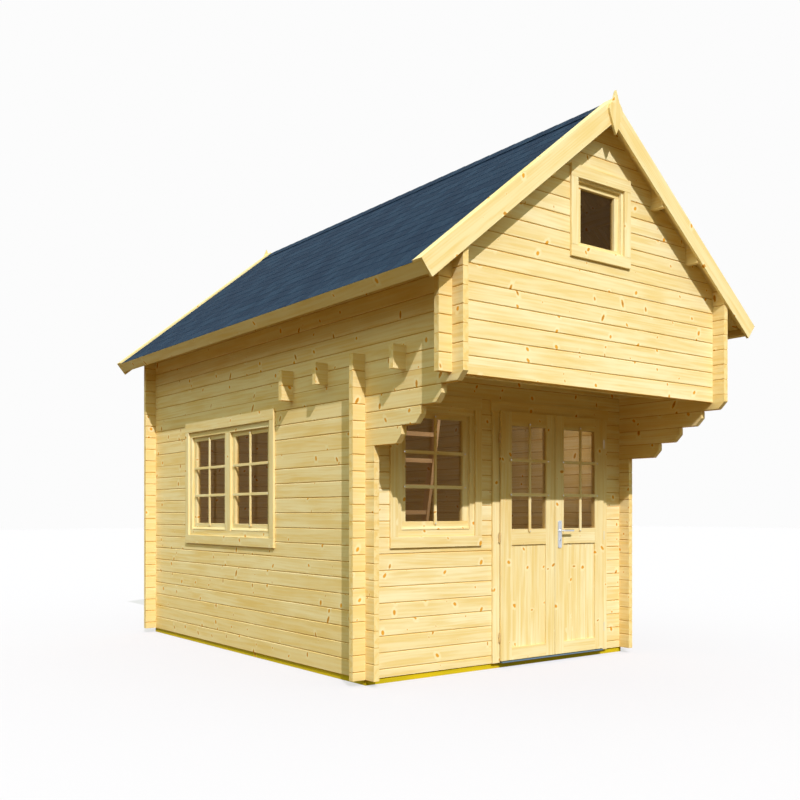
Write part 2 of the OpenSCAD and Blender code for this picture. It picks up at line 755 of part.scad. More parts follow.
module window_panes() color("#8fa3ad", 0.5) {
    at_front() in_sash(front_win, 0) pane(front_win, 0);
    at_side() in_sash(side_win, mullion_w) pane(side_win, mullion_w);
    at_loft() in_sash(loft_win, 0) pane(loft_win, 0);
}

// puts the middle of the cabin's length over the origin
module placed() translate([0, -y_mid, 0]) children();

placed() side_bearers();
placed() end_bearers();
placed() floor_bearers();
placed() ground_floor();
placed() front_wall_left();
placed() front_wall_right();
placed() front_wall_over();
placed() back_wall();
placed() loft_wall();
placed() left_wall();
placed() left_corbels();
placed() left_wall_upper();
placed() right_wall();
placed() right_corbels();
placed() right_wall_upper();
placed() loft_joists();
placed() loft_beam();
placed() loft_floor();
placed() ladder_stiles();
placed() ladder_rungs();
placed() purlins();
placed() left_roof_boards();
placed() right_roof_boards();
placed() left_shingles();
placed() right_shingles();
placed() ridge_shingles();
placed() left_barges();
placed() right_barges();
placed() left_edge_caps();
placed() right_edge_caps();
placed() finials();
placed() fascias();
placed() door_jambs();
placed() door_head();
placed() door_side_trims();
placed() door_head_trim();
placed() threshold();
placed() frame_hinges();
placed() left_leaf();
placed() left_leaf_panes();
placed() left_leaf_hinges();
placed() right_leaf();
placed() right_leaf_panes();
placed() right_leaf_hinges();
placed() handle_plates();
placed() lever();
placed() window_trims();
placed() window_frames();
placed() window_sashes();
placed() window_panes();
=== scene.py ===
"""Looks of the log cabin: spruce logs, boards and joinery, a shingled roof, panes and fittings."""
import json
import math
import random
from collections import namedtuple

import bmesh
import bpy
from mathutils import Matrix, Vector


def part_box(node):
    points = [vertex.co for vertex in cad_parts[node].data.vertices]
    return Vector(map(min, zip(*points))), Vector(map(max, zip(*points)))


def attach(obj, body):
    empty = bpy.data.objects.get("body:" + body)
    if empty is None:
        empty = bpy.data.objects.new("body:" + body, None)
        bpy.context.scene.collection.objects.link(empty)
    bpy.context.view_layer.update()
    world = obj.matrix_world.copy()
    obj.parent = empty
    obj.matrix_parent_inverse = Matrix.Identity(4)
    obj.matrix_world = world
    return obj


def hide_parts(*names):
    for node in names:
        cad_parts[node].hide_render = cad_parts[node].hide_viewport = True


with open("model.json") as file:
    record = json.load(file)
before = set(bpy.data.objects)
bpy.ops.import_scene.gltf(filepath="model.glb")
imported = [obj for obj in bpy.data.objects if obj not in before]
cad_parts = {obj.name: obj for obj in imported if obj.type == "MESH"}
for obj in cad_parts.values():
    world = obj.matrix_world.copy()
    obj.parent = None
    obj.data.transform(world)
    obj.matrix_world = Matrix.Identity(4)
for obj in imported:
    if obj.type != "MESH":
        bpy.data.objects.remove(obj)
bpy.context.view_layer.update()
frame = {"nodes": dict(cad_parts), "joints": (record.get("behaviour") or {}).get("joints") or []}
chance = random.Random(20)

# Sizes in metres, as in the part
LOG_H = 0.114
PITCH = math.radians(39.1)
COS, SIN, TAN = math.cos(PITCH), math.sin(PITCH), math.tan(PITCH)
BASE_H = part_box("side_bearers")[1][2]
FRONT_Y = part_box("front_wall_left")[0][1]
LEFT_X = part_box("left_wall")[0][0]
LOFT_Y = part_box("loft_wall")[0][1]
RIDGE_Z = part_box("purlins")[1][2]
ROOF_Y0, ROOF_Y1 = (corner[1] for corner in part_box("right_roof_boards"))
BOARD_T = 0.018
SHINGLE_T = 0.005
LAYER_GAP = 0.0001
BOARD_V = LAYER_GAP + BOARD_T
ROOF_V = BOARD_V + LAYER_GAP + SHINGLE_T
CAP_W = 0.070
FASCIA_T = 0.020
SLOPE_END = (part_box("right_roof_boards")[1][0] - BOARD_V * SIN) / COS

# Joinery sizes
TRIM_T, TRIM_W, TRIM_HEAD, TRIM_FOOT, TRIM_LAP = 0.018, 0.066, 0.088, 0.078, 0.044
FRAME_D, SASH_IN, SASH_T, WIN_STOP = 0.078, 0.023, 0.036, 0.010
BAR_W, BAR_T, BAR_LAP = 0.025, 0.012, 0.026
BAR_SET_BACK, BAR_EASE = 0.001, 0.003
SCREW_R, SCREW_IN, SCREW_PROUD, SCREW_DEEP, SCREW_EASE = 0.0045, 0.010, 0.0008, 0.002, 0.0004
DRIP_IN = 0.002
DOOR_MIDDLE_X = 0.47
EASE, TRIM_EASE, SASH_EASE, FLOOR_EASE = 0.001, 0.002, 0.0015, 0.0025
LIP_T, LIP_IN, LEAF_T = 0.019, 0.017, 0.040
HINGE_STILE, LOCK_STILE = 0.110, 0.099
TOP_RAIL, BOTTOM_RAIL, MID_RAIL_Z, MID_RAIL = 0.108, 0.095, 0.880, 0.122
PANEL_T, PANEL_EASE = 0.016, 0.0022
PANEL_BOARDS = 7

# Windows: over the trim, width of the frame's sides and rails that shows, the sash's members, post, bars
Window = namedtuple("Window", "width height side rail stile head foot post barred")
FRONT_WINDOW = Window(width=0.8515, height=1.102, side=0.042, rail=0.046,
                      stile=0.052, head=0.038, foot=0.063, post=0.0, barred=True)
SIDE_WINDOW = FRONT_WINDOW._replace(width=1.654, post=0.096)
LOFT_WINDOW = Window(width=0.610, height=0.625, side=0.022, rail=0.014,
                     stile=0.043, head=0.036, foot=0.022, post=0.0, barred=False)
FACING_LEFT = Matrix.Rotation(-math.pi / 2, 4, "Z")
FRONT_WINDOW_AT = Matrix.Translation((-0.70975, FRONT_Y, 0.936))
SIDE_WINDOW_AT = Matrix.Translation((LEFT_X, FRONT_Y + 2.071, 0.904)) @ FACING_LEFT
LOFT_WINDOW_AT = Matrix.Translation((0.0, LOFT_Y, 2.911))


class Value:
    """A socket in a finish. Arithmetic on it adds Math nodes."""

    def __init__(self, finish, node, output):
        self.finish = finish
        self.node = node
        self.socket = node.outputs[output] if node.outputs else None

    def other(self, output):
        return Value(self.finish, self.node, output)

    def math(self, operation, *terms):
        return self.finish.node("Math", {"operation": operation}, dict(enumerate(terms)))

    def __add__(self, term):
        return self.math("ADD", self, term)

    def __sub__(self, term):
        return self.math("SUBTRACT", self, term)

    def __rsub__(self, term):
        return self.math("SUBTRACT", term, self)

    def __mul__(self, term):
        return self.math("MULTIPLY", self, term)

    def __truediv__(self, term):
        return self.math("DIVIDE", self, term)

    def __abs__(self):
        return self.math("ABSOLUTE", self)

    def floor(self):
        return self.math("FLOOR", self)

    def fraction(self):
        return self.math("FRACT", self)

    def sine(self):
        return self.math("SINE", self)

    def root(self):
        return self.math("SQRT", self)

    def larger(self, term):
        return self.math("MAXIMUM", self, term)


class Finish:
    """The nodes of a material or of the world, and the few kinds that the cabin's finishes are made of."""

    def __init__(self, owner):
        self.owner = owner
        owner.use_nodes = True
        self.tree = owner.node_tree
        self.tree.nodes.clear()

    def node(self, kind, settings=None, sockets=None, output=0):
        made = self.tree.nodes.new("ShaderNode" + kind)
        for key, value in (settings or {}).items():
            setattr(made, key, value)
        for key, value in (sockets or {}).items():
            if isinstance(value, Value):
                self.tree.links.new(value.socket, made.inputs[key])
            else:
                made.inputs[key].default_value = value
        return Value(self, made, output)

    def dot(self, vector, direction):
        return self.node("VectorMath", {"operation": "DOT_PRODUCT"}, {0: vector, 1: direction}, "Value")

    def vector(self, x, y, z):
        return self.node("CombineXYZ", None, {0: x, 1: y, 2: z})

    def noise(self, x, y, z, detail=2.0, roughness=0.5):
        sockets = {"Vector": self.vector(x, y, z), "Scale": 1.0, "Detail": detail, "Roughness": roughness}
        return self.node("TexNoise", None, sockets)

    def smooth(self, value, low, high):
        sockets = {"Value": value, "From Min": low, "From Max": high}
        return self.node("MapRange", {"interpolation_type": "SMOOTHSTEP"}, sockets)

    def blend(self, factor, first, second):
        return self.node("Mix", {"data_type": "RGBA"}, {0: factor, 6: first, 7: second}, 2)

    def bump(self, height, strength, distance):
        sockets = {"Height": height, "Strength": strength, "Distance": distance}
        return self.node("Bump", None, sockets, "Normal")

    def luck(self, number):
        """A chance value from 0 to 1 that belongs to a board's number."""
        return self.node("TexWhiteNoise", {"noise_dimensions": "1D"}, {"W": number + 0.37})

    def seen_rays(self):
        """1 for what the camera sees, straight or in metal and glass."""
        path = self.node("LightPath", None, None, "Is Camera Ray")
        return path.larger(path.other("Is Glossy Ray")).larger(path.other("Is Transmission Ray"))

    def coat(self, sockets):
        return self.cover(self.node("BsdfPrincipled", None, sockets))

    def cover(self, shader, kind="OutputMaterial"):
        self.node(kind, None, {"Surface": shader})
        return self.owner


def new_finish(name):
    return Finish(bpy.data.materials.new(name))


def tint(red, green, blue):
    return (red, green, blue, 1.0)


# Directions of a piece of wood: along the grain, over its width, through its thickness
GRAIN = {
    "x": ((1, 0, 0), (0, 0, 1), (0, 1, 0)),
    "y": ((0, 1, 0), (0, 0, 1), (1, 0, 0)),
    "z": ((0, 0, 1), (1, 0, 0), (0, 1, 0)),
    "left": ((-COS, 0, -SIN), (-SIN, 0, COS), (0, 1, 0)),
    "right": ((COS, 0, -SIN), (SIN, 0, COS), (0, 1, 0)),
    "eave": ((0, 1, 0), (0, 0, 1), (0, 0, 0)),
}
# Knots: mean spacing along and across the grain, largest radius, soft edges, heart and halo as shares of it
KNOT_CELL, KNOT_R = (0.27, 0.078), 0.0165
KNOT_EDGE, HEART_EDGE, HALO_EDGE = 0.0034, 0.005, 0.018
HEART_SHARE, HALO_SHARE = 0.75, 2.6
Knots = namedtuple("Knots", "knot heart halo aside strong spike")
# How fine the figure of the wood is, per metre over its width, and how far boards differ in it
STREAKS, PATCHES, FLAMES, FIBRES, RINGS, END_RINGS, END_BLOTCHES = 30, 10, 16, 380, 230, 1500, 24
BOARD_SHIFT = 41.0
PALE_SPRUCE, DEEP_SPRUCE = tint(0.92, 0.800, 0.515), tint(0.84, 0.645, 0.300)
HONEY_SPRUCE, CLEAR_SPRUCE = tint(0.81, 0.585, 0.225), tint(0.95, 0.830, 0.560)
KNOT_HEART, KNOT_RIM = tint(0.78, 0.330, 0.012), tint(0.76, 0.390, 0.035)
KNOT_DARK, JOINT_SHADE = tint(0.52, 0.200, 0.010), tint(0.58, 0.280, 0.012)
END_PALE, END_DEEP = tint(0.91, 0.720, 0.380), tint(0.84, 0.580, 0.200)


def by_course(step):
    """Numbers the logs of a wall by their course, step courses out of line."""
    def number(finish, place):
        level = (finish.dot(place, (0, 0, 1)) - BASE_H) / LOG_H + step
        return level.floor(), level.fraction()
    return number


def by_board(finish, place):
    """Reads the number that each board of a piece carries."""
    return finish.node("Attribute", {"attribute_name": "board"}, None, "Fac"), None


def knot_field(finish, along, across, shift):
    """Knots at chance places: their discs, hearts and halos, the way off to their side, and their lots."""
    cell = finish.vector(along / KNOT_CELL[0] + shift, across / KNOT_CELL[1] + shift * 1.7, 0.0)
    sockets = {"Vector": cell, "Scale": 1.0, "Randomness": 0.85}
    nearest = finish.node("TexVoronoi", {"voronoi_dimensions": "2D"}, sockets)
    offset = finish.node("VectorMath", {"operation": "SUBTRACT"}, {0: cell, 1: nearest.other("Position")})
    lot = nearest.other("Color")
    strong = finish.dot(lot, (1, 0, 0))
    aside = finish.dot(offset, (0, KNOT_CELL[1], 0))
    slant = aside * (finish.dot(lot, (0, 1, 0)) - 0.5)
    ahead = finish.dot(offset, (KNOT_CELL[0], 0, 0)) + slant
    spike = finish.dot(lot, (0, 0, 1))
    reach = aside / (spike * spike * spike * 1.3 + 1.0)
    waver = finish.noise(along * 70, across * 70, shift) * 0.006 - 0.003
    distance = (ahead * ahead + reach * reach).root() + waver
    size = finish.smooth(strong, 0.32, 1.05) * KNOT_R
    knot = finish.smooth(size - distance, 0.0, KNOT_EDGE)
    heart = finish.smooth(size * HEART_SHARE - distance, 0.0, HEART_EDGE)
    halo = finish.smooth(size * HALO_SHARE - distance, 0.0, HALO_EDGE)
    return Knots(knot, heart, halo, aside, strong, spike)


def end_grain(finish, along, wide, thick, luck, shift, ends):
    """Growth rings and blotches on the sawn ends."""
    pith_wide = wide + luck * 0.4
    pith_thick = thick + luck * 0.3
    blotch = finish.noise(wide * END_BLOTCHES + shift, thick * END_BLOTCHES, along * 3, 2.0)
    pith_distance = (pith_wide * pith_wide + pith_thick * pith_thick).root()
    growth = (pith_distance * END_RINGS + blotch * 9).sine()
    return finish.blend(finish.smooth(blotch + growth * 0.10, 0.35, 0.75), *ends)


def wood(name, grain, number, pale=PALE_SPRUCE, deep=DEEP_SPRUCE, honey=HONEY_SPRUCE, clear=CLEAR_SPRUCE,
         ends=(END_PALE, END_DEEP), tips=None):
    """Planed softwood: soft streaks and patches, fibres, knots with clear wood round them, ringed end grain.

    Beyond tips, a distance from the middle, the free ends of logs are more golden.
    """
    finish = new_finish(name)
    place = finish.node("TexCoord", None, None, "Object")
    along_way, wide_way, thick_way = GRAIN[grain]
    along = finish.dot(place, along_way)
    wide = finish.dot(place, wide_way)
    thick = finish.dot(place, thick_way)
    across = wide + thick
    own, part = number(finish, place)
    luck = finish.luck(own)
    shift = luck * BOARD_SHIFT
    knots = knot_field(finish, along, across, shift)

    bend = knots.halo * knots.aside * 26.0
    streak = finish.noise(along * 1.1 + shift, wide * STREAKS + bend, thick * STREAKS, 4.0, 0.55)
    patch = finish.noise(along * 2.4 + shift, wide * PATCHES + shift, thick * PATCHES, 2.0)
    fibre = finish.noise(along * 9 + shift, wide * FIBRES, thick * FIBRES, 2.0)
    sway = finish.noise(along * 0.55 + shift, across * 6.5, luck * 9, 1.0)
    ring = (across * RINGS + sway * 40 + bend * 4.0).sine()
    tone = streak * 0.55 + patch * 0.42 + ring * 0.035 + fibre * 0.12
    colour = finish.blend(finish.smooth(tone, 0.41, 0.70), pale, deep)
    colour = finish.blend(finish.smooth(luck, 0.3, 1.0) * 0.30, colour, honey)
    flame = finish.noise(along * 1.4 + shift * 2.0, wide * FLAMES + bend * 0.5, thick * FLAMES, 3.0)
    colour = finish.blend(finish.smooth(flame, 0.55, 0.71) * 0.68, colour, honey)
    if tips is not None:
        colour = finish.blend(finish.smooth(abs(along), tips, tips + 0.003) * 0.48, colour, honey)
    colour = finish.blend(knots.halo * 0.55, colour, clear)
    depth = finish.smooth(knots.strong, 0.30, 0.85) * 0.60 + 0.35
    middle = finish.blend(finish.smooth(knots.spike, 0.6, 0.9), KNOT_HEART, KNOT_DARK)
    colour = finish.blend(knots.knot * depth, colour, finish.blend(knots.heart, KNOT_RIM, middle))

    end = finish.smooth(abs(finish.dot(place.other("Normal"), along_way)), 0.75, 0.92)
    sawn = end_grain(finish, along, wide, thick, luck, shift, ends)
    colour = finish.blend(end, colour, sawn)
    if part is not None:
        joint = finish.smooth(abs(part - 0.5), 0.472, 0.494)
        colour = finish.blend(joint * 0.88, colour, JOINT_SHADE)
    relief = finish.bump(fibre * 0.6 + ring * 0.08 + knots.knot * 0.4, 0.16, 0.0012)
    return finish.coat({"Base Color": colour, "Roughness": streak * 0.22 + 0.52, "Normal": relief,
                        "Specular IOR Level": 0.16})


GRANULES_DARK, GRANULES_PALE = tint(0.004, 0.018, 0.047), tint(0.019, 0.048, 0.096)
BRUSH_ALONG, BRUSH_ACROSS = 30.0, 900.0
LACQUER_PALE, LACQUER_DEEP = tint(0.74, 0.52, 0.24), tint(0.62, 0.42, 0.18)
STEEL_PALE, STEEL_DEEP = tint(0.74, 0.77, 0.82), tint(0.62, 0.65, 0.70)
PANE_TINT, PANE_MIRROR, PANE_FACING = tint(0.92, 0.87, 0.78), tint(0.45, 0.30, 0.16), 0.04


def shingle_finish():
    """Mineral granules on bitumen, each tab a little lighter or darker."""
    finish = new_finish("slate_blue_granules")
    place = finish.node("TexCoord", None, None, "Object")
    own = finish.node("Attribute", {"attribute_name": "board"}, None, "Fac")
    grit = finish.node("TexVoronoi", None, {"Vector": place, "Scale": 520.0})
    speck = finish.dot(grit.other("Color"), (1, 0, 0))
    cloud = finish.node("TexNoise", None, {"Vector": place, "Scale": 7.0, "Detail": 4.0})
    tone = speck * 0.40 + finish.luck(own) * 0.32 + cloud * 0.32
    colour = finish.blend(finish.smooth(tone, 0.25, 1.0), GRANULES_DARK, GRANULES_PALE)
    return finish.coat({"Base Color": colour, "Roughness": 0.88 - speck * 0.1, "Specular IOR Level": 0.12,
                        "Normal": finish.bump(grit, 0.5, 0.0012)})


def metal_finish(name, colour, dull, along):
    """Satin metal with fine brushing along one direction."""
    finish = new_finish(name)
    place = finish.node("TexCoord", None, None, "Object")
    stretch = tuple(BRUSH_ALONG if way else BRUSH_ACROSS for way in along)
    lines = finish.node("VectorMath", {"operation": "MULTIPLY"}, {0: place, 1: stretch})
    brush = finish.node("TexNoise", None, {"Vector": lines, "Scale": 1.0, "Detail": 3.0})
    worn = tint(*(part * 0.82 for part in colour[:3]))
    shade = finish.blend(finish.smooth(brush, 0.3, 0.7), colour, worn)
    return finish.coat({"Base Color": shade, "Metallic": 1.0, "Roughness": brush * 0.18 + dull,
                        "Normal": finish.bump(brush, 0.06, 0.0006)})


def hinge_finish(middle):
    """Satin steel on the right leaf's hinges, wood coloured lacquer on the left leaf's."""
    finish = new_finish("hinge_metal")
    place = finish.node("TexCoord", None, None, "Object")
    bare = finish.smooth(finish.dot(place, (1, 0, 0)), middle - 0.01, middle + 0.01)
    wear = finish.node("TexNoise", None, {"Vector": place, "Scale": 260.0, "Detail": 3.0})
    lacquer = finish.blend(wear, LACQUER_PALE, LACQUER_DEEP)
    metal = finish.blend(wear, STEEL_PALE, STEEL_DEEP)
    return finish.coat({"Base Color": finish.blend(bare, lacquer, metal), "Metallic": bare,
                        "Roughness": wear * 0.2 + 0.3, "Normal": finish.bump(wear, 0.06, 0.0006)})


def pane_finish():
    """Thin clear glass: mirrors by its angle and shows the room behind it."""
    finish = new_finish("window_glass")
    clear = finish.node("BsdfTransparent", None, {"Color": PANE_TINT})
    place = finish.node("TexCoord", None, None, "Object")
    ripple = finish.node("TexNoise", None, {"Vector": place, "Scale": 2.2, "Detail": 1.0})
    sockets = {"Roughness": 0.03, "Color": PANE_MIRROR, "Normal": finish.bump(ripple, 0.05, 0.02)}
    gloss = finish.node("BsdfGlossy", None, sockets)
    edge = finish.node("LayerWeight", None, {"Blend": 0.5}, "Facing")
    square = edge * edge
    angle = square * square * edge * (1 - PANE_FACING) + PANE_FACING
    return finish.cover(finish.node("MixShader", None, {0: angle, 1: clear, 2: gloss}))


# Tones of other wood: pale, deep, honey and clear
# The side walls' logs are redder, paler and less blue than the cross logs: painted light that makes up for
# the weaker sun on the side walls
SIDE_TONES_PAINTED_LIGHT = (tint(0.95, 0.795, 0.480), tint(0.87, 0.645, 0.280),
          tint(0.84, 0.585, 0.205), tint(0.96, 0.830, 0.540))
TREATED = (tint(0.80, 0.57, 0.012), tint(0.52, 0.42, 0.010),
           tint(0.62, 0.45, 0.010), tint(0.84, 0.63, 0.02))
LADDER = (tint(0.92, 0.68, 0.45), tint(0.84, 0.58, 0.34),
          tint(0.82, 0.55, 0.30), tint(0.94, 0.72, 0.50))
# Side walls' logs in the tones with painted light
side_logs_painted_light = wood("spruce_side_logs", "y", by_course(0.0), *SIDE_TONES_PAINTED_LIGHT)
cross_logs = wood("spruce_cross_logs", "x", by_course(0.5), tips=-LEFT_X)
spruce_boards = [wood("spruce_boards_" + way, way, by_board) for way in "xyz"]
spruce_left = wood("spruce_left_slope", "left", by_board)
spruce_right = wood("spruce_right_slope", "right", by_board)
spruce_eave = wood("spruce_eave", "eave", by_board)
treated_x = wood("treated_bearer_x", "x", by_board, *TREATED, ends=TREATED[:2])
treated_y = wood("treated_bearer_y", "y", by_board, *TREATED, ends=TREATED[:2])
ladder_x = wood("ladder_rung_wood", "x", by_board, *LADDER, ends=LADDER[1:3])
ladder_z = wood("ladder_stile_wood", "z", by_board, *LADDER, ends=LADDER[1:3])
shingle = shingle_finish()
pane = pane_finish()
steel = metal_finish("satin_steel", tint(0.72, 0.75, 0.80), 0.30, (0, 0, 1))
hinge_metal = hinge_finish(DOOR_MIDDLE_X)
threshold_metal = metal_finish("blue_grey_threshold", tint(0.20, 0.30, 0.38), 0.38, (1, 0, 0))
# Near-black for the keyhole and the screws' slots: painted shade standing for the hollows
slot_painted_shade = metal_finish("keyhole_painted_shade", tint(0.03, 0.03, 0.03), 0.5, (0, 0, 1))
framing = spruce_boards + [steel]
STEEL = 3

# Least turn between two faces, in radians, at which their edge is eased
SHARP = 0.35
# Points of an outline that lie nearer than this are one point
SAME_POINT = 1e-6
DISC_EASE = 0.0008
BOX_FACES = [(0, 3, 2, 1), (4, 5, 6, 7), (0, 1, 5, 4), (1, 2, 6, 5), (2, 3, 7, 6), (3, 0, 4, 7)]
# How an outline's two measures and its depth stand along x, y and z
DRAWN_ALONG = {
    "x": lambda a, b, depth: (depth, a, b),
    "y": lambda a, b, depth: (a, depth, b),
    "z": lambda a, b, depth: (a, b, depth),
}


class Joinery:
    """Boards gathered into one mesh. Each board has its own number and a finish by its grain."""

    def __init__(self, place=None):
        self.place = place or Matrix.Identity(4)
        self.points, self.faces, self.finishes, self.numbers = [], [], [], []

    def grain(self, way):
        """Finish number of a grain direction given in the piece's own axes."""
        if isinstance(way, int):
            return way
        turned = self.place.to_3x3() @ Vector([float(way == axis) for axis in "xyz"])
        return max(range(3), key=lambda axis: abs(turned[axis]))

    def solid(self, points, faces, way, ease=EASE, steps=1):
        """Adds one closed solid with eased edges."""
        small = bmesh.new()
        corners = [small.verts.new(point) for point in points]
        for face in faces:
            small.faces.new([corners[i] for i in face])
        bmesh.ops.recalc_face_normals(small, faces=small.faces[:])
        if ease > 0:
            sharp = [edge for edge in small.edges if edge.calc_face_angle(0.0) > SHARP]
            bmesh.ops.bevel(small, geom=sharp, offset=ease, segments=steps, affect="EDGES",
                            clamp_overlap=True)
        small.verts.index_update()
        first = len(self.points)
        number = chance.random()
        mirrored = self.place.determinant() < 0
        self.points += [self.place @ v.co for v in small.verts]
        for face in small.faces:
            ring = [first + v.index for v in face.verts]
            self.faces.append(ring[::-1] if mirrored else ring)
            self.finishes.append(self.grain(way))
            self.numbers.append(number)
        small.free()

    def board(self, low, high, way, ease=EASE):
        (x0, y0, z0), (x1, y1, z1) = low, high
        ring = [(x0, y0), (x1, y0), (x1, y1), (x0, y1)]
        self.solid([(x, y, z) for z in (z0, z1) for x, y in ring], BOX_FACES, way, ease)

    def prism(self, outline, axis, start, end, way, ease=EASE, steps=1):
        """Adds an outline in the plane square to an axis, drawn out from start to end."""
        count = len(outline)
        points = [DRAWN_ALONG[axis](a, b, depth) for depth in (start, end) for a, b in outline]
        sides = [(i, (i + 1) % count, count + (i + 1) % count, count + i) for i in range(count)]
        self.solid(points, [tuple(range(count)), tuple(range(count, 2 * count))] + sides, way, ease, steps)

    def disc(self, centre, axis, radius, start, end, way, sides=20, ease=DISC_EASE):
        self.prism(rounded(centre, centre, radius, sides // 4), axis, start, end, way, ease)

    def piece(self, name, finishes, body, slot, *replaced):
        mesh = bpy.data.meshes.new(name)
        mesh.from_pydata(self.points, [], self.faces)
        for finish in finishes:
            mesh.materials.append(finish)
        mesh.polygons.foreach_set("material_index", self.finishes)
        mesh.attributes.new("board", "FLOAT", "FACE").data.foreach_set("value", self.numbers)
        mesh.update()
        shown = bpy.data.objects.new(name, mesh)
        bpy.context.scene.collection.objects.link(shown)
        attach(shown, body)
        if replaced:
            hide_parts(*replaced)


def rounded(low, high, radius, steps):
    """Outline that runs at a radius round the box between two points, with round corners."""
    corners = [(high[0], high[1]), (low[0], high[1]), (low[0], low[1]), (high[0], low[1])]
    outline = []
    for quarter, (a, b) in enumerate(corners):
        for i in range(steps + 1):
            turn = math.pi / 2 * (quarter + i / steps)
            point = (a + radius * math.cos(turn), b + radius * math.sin(turn))
            if not outline or math.dist(point, outline[-1]) > SAME_POINT:
                outline.append(point)
    if math.dist(outline[0], outline[-1]) < SAME_POINT:
        outline.pop()
    return outline


def frame_of_four(kit, middle, width, foot, height, side, low_rail, high_rail, y0, y1, ease=EASE):
    """Four boards round an opening: head and foot run through, sides stand between."""
    x0, x1 = middle - width / 2, middle + width / 2
    top = foot + height
    kit.board((x0, y0, foot), (x1, y1, foot + low_rail), "x", ease)
    kit.board((x0, y0, top - high_rail), (x1, y1, top), "x", ease)
    kit.board((x0, y0, foot + low_rail), (x0 + side, y1, top - high_rail), "z", ease)
    kit.board((x1 - side, y0, foot + low_rail), (x1, y1, top - high_rail), "z", ease)


def glazing_bars(kit, x0, x1, z0, z1, face):
    """One upright and two level bars, screwed at their round ends to the wood round the pane."""
    radius = BAR_W / 2

    def bar(low, high, way, front):
        kit.prism(rounded(low, high, radius, 5), "y", front, face, way, BAR_EASE, 2)
        steps = Vector((high[0] - low[0], high[1] - low[1])).normalized() * (SCREW_IN - radius)
        for end, inward in ((low, 1), (high, -1)):
            at = (end[0] + inward * steps[0], end[1] + inward * steps[1])
            kit.disc(at, "y", SCREW_R, front - SCREW_PROUD, front + SCREW_DEEP, STEEL, 12, SCREW_EASE)

    middle = (x0 + x1) / 2
    reach = BAR_LAP - radius
    bar((middle, z0 - reach), (middle, z1 + reach), "z", face - BAR_T)
    for share in (1 / 3, 2 / 3):
        level = z0 + (z1 - z0) * share
        bar((x0 - reach, level), (x1 + reach, level), "x", face - BAR_T + BAR_SET_BACK)


# Section of the moulding on a sash's foot: out from the sash face, up from the sash's foot
DRIP_SECTION = ((0.0, 0.002), (0.0, 0.026), (0.006, 0.024), (0.016, 0.012), (0.016, 0.004))


def windows():
    """Trim, frame, sash and bars of each window unit."""
    units = [(FRONT_WINDOW_AT, FRONT_WINDOW), (SIDE_WINDOW_AT, SIDE_WINDOW), (LOFT_WINDOW_AT, LOFT_WINDOW)]
    trims, frames, sashes, bars = Joinery(), Joinery(), Joinery(), Joinery()
    sash_back = SASH_IN + SASH_T
    for place, (width, height, side, rail, stile, head, foot, post, barred) in units:
        for kit in (trims, frames, sashes, bars):
            kit.place = place
        trim_members = TRIM_W, TRIM_FOOT, TRIM_HEAD
        frame_of_four(trims, 0.0, width, 0.0, height, *trim_members, -TRIM_T, 0.0, TRIM_EASE)
        outer = 0.0, width - 2 * TRIM_LAP, TRIM_LAP, height - 2 * TRIM_LAP
        members = [reveal - TRIM_LAP for reveal in (TRIM_W + side, TRIM_FOOT + rail, TRIM_HEAD + rail)]
        frame_of_four(frames, *outer, *members, 0.0, sash_back)
        frame_of_four(frames, *outer, *(member + WIN_STOP for member in members), sash_back, FRAME_D)
        sash_z = TRIM_FOOT + rail
        sash_h = height - TRIM_FOOT - TRIM_HEAD - 2 * rail
        sash_w = (width - 2 * TRIM_W - 2 * side - post) / (2 if post else 1)
        if post:
            frames.board((-post / 2, 0.0, sash_z), (post / 2, FRAME_D, sash_z + sash_h), "z")
        for middle in ([-(sash_w + post) / 2, (sash_w + post) / 2] if post else [0.0]):
            frame_of_four(sashes, middle, sash_w, sash_z, sash_h, stile, foot, head,
                          SASH_IN, sash_back, SASH_EASE)
            if not barred:
                continue
            half = sash_w / 2 - stile
            glazing_bars(bars, middle - half, middle + half, sash_z + foot, sash_z + sash_h - head, SASH_IN)
            drip = [(SASH_IN - out, sash_z + up) for out, up in DRIP_SECTION]
            drip_x = sash_w / 2 - DRIP_IN
            bars.prism(drip, "x", middle - drip_x, middle + drip_x, "x")
    trims.piece("window_trim_boards", framing, "cabin", "window_wood", "window_trims")
    frames.piece("window_frame_boards", framing, "cabin", "window_wood", "window_frames")
    sashes.piece("window_sash_boards", framing, "cabin", "window_wood", "window_sashes")
    bars.piece("window_glazing_bars", framing, "cabin", "window_wood")


